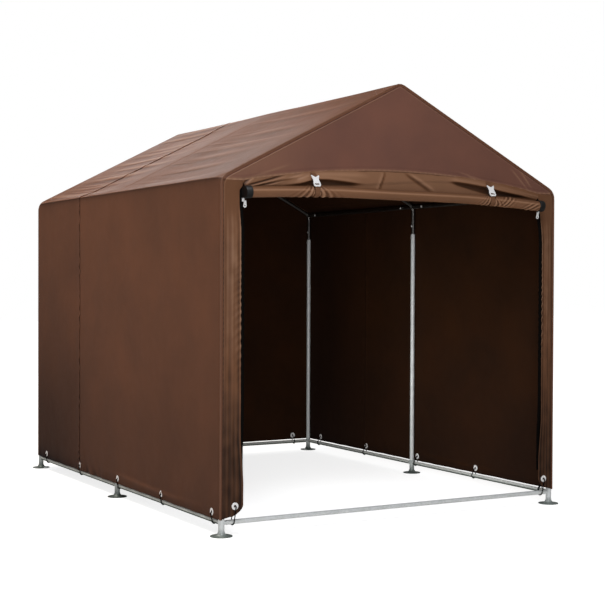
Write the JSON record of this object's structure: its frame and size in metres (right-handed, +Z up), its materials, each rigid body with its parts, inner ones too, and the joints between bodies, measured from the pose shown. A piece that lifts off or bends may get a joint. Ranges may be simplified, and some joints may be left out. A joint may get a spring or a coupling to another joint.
{
  "type": "bike shelter",
  "caption": "Gabled fabric shelter on a slip-together steel tube frame with round feet, a roll-up front door and a cover tied to the base rails, for keeping bikes dry.",
  "frame": {"origin": "on the ground, under the centre of the outer box", "axes": "+X to the right as seen from the doorway, +Y from the doorway to the back, +Z up"},
  "size_m": [2.014, 2.6652, 2.1232],
  "materials": {
    "galvanised_steel": "galvanised, dull spangle",
    "cover_fabric": "brown coated woven cloth, soft sheen",
    "black_plastic": "moulded, matt",
    "strap_webbing": "brown webbing",
    "white_plastic": "moulded, soft gloss",
    "elastic_cord": "black braided sleeve",
    "eyelet_metal": "pressed, satin"
  },
  "bodies": {
    "root": {"front_left_foot": "galvanised_steel", "front_left_leg": "galvanised_steel", "front_left_eave_fitting": "galvanised_steel", "front_right_foot": "galvanised_steel", "front_right_leg": "galvanised_steel", "front_right_eave_fitting": "galvanised_steel", "middle_left_foot": "galvanised_steel", "middle_left_leg": "galvanised_steel", "middle_left_eave_fitting": "galvanised_steel", "middle_right_foot": "galvanised_steel", "middle_right_leg": "galvanised_steel", "middle_right_eave_fitting": "galvanised_steel", "back_left_foot": "galvanised_steel", "back_left_leg": "galvanised_steel", "back_left_eave_fitting": "galvanised_steel", "back_right_foot": "galvanised_steel", "back_right_leg": "galvanised_steel", "back_right_eave_fitting": "galvanised_steel", "front_rafters": "galvanised_steel", "front_ridge_fitting": "galvanised_steel", "middle_rafters": "galvanised_steel", "middle_ridge_fitting": "galvanised_steel", "back_rafters": "galvanised_steel", "back_ridge_fitting": "galvanised_steel", "left_eave_rails": "galvanised_steel", "left_base_rails": "galvanised_steel", "right_eave_rails": "galvanised_steel", "right_base_rails": "galvanised_steel", "ridge_rails": "galvanised_steel", "front_base_rail": "galvanised_steel", "back_base_rail": "galvanised_steel", "left_wall": "cover_fabric", "right_wall": "cover_fabric", "back_wall": "cover_fabric", "roof_left": "cover_fabric", "roof_right": "cover_fabric", "front_gable": "cover_fabric", "front_left_strip": "cover_fabric", "front_right_strip": "cover_fabric", "rolled_door": "cover_fabric", "door_end_caps": "black_plastic", "door_straps": "strap_webbing", "strap_buckles": "white_plastic", "zip_pulls": "white_plastic", "tie_cords": "elastic_cord", "eyelets": "eyelet_metal"}
  },
  "joints": []
}
